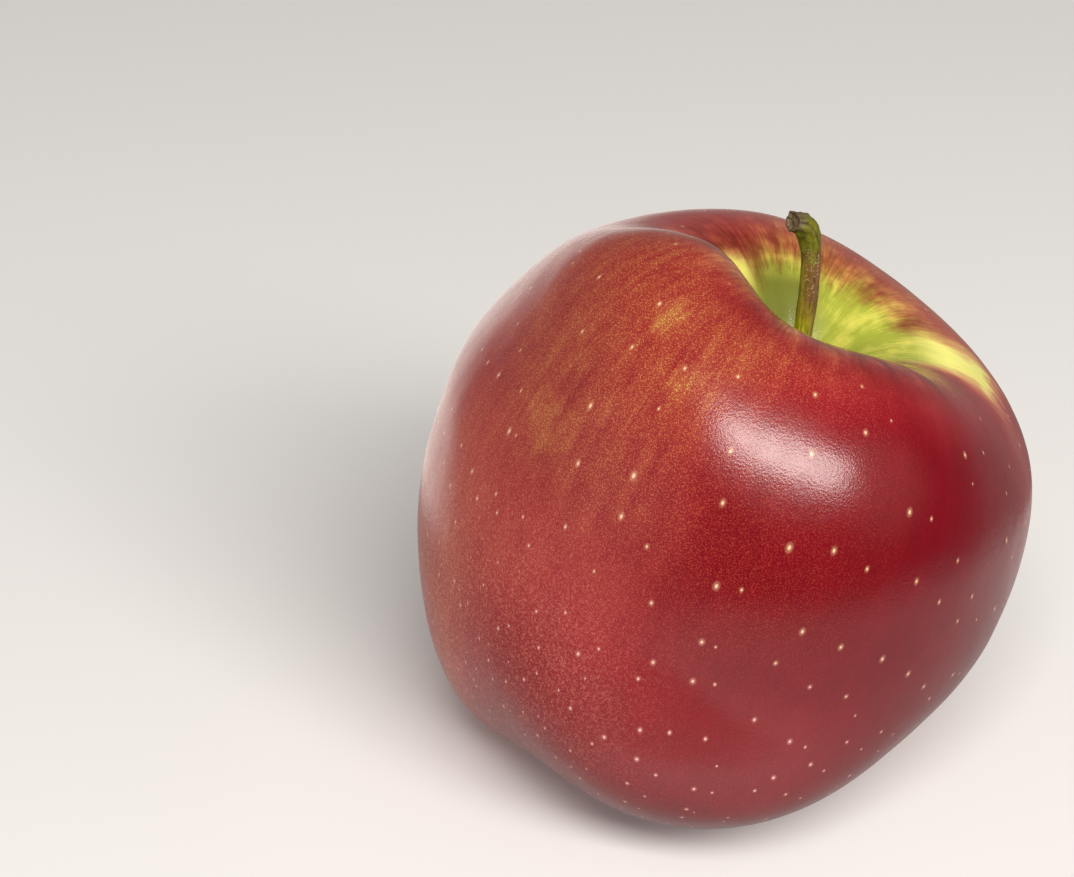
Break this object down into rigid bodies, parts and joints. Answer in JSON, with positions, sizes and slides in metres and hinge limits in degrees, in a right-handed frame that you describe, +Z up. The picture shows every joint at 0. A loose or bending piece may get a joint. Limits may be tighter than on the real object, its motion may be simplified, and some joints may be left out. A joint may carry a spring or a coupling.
{
  "type": "whole apple",
  "caption": "Whole ripe red apple, uncut, with a short woody stem in the cavity on top and dried sepals in the basin underneath.",
  "frame": {"origin": "middle of the bounding box on the surface that the fruit rests on", "axes": "+Z up as the fruit rests, -Y towards the side that the picture shows, +X to the right there; the core leans to +X and a little to -Y"},
  "size_m": [0.0786, 0.0798, 0.0754],
  "materials": {
    "skin": "waxy fruit skin, red over yellow-green",
    "stem": "green-brown bark, matt",
    "calyx": "dry papery sepals, matt"
  },
  "bodies": {
    "root": {"fruit": "skin", "stem": "stem", "calyx": "calyx"}
  },
  "joints": []
}
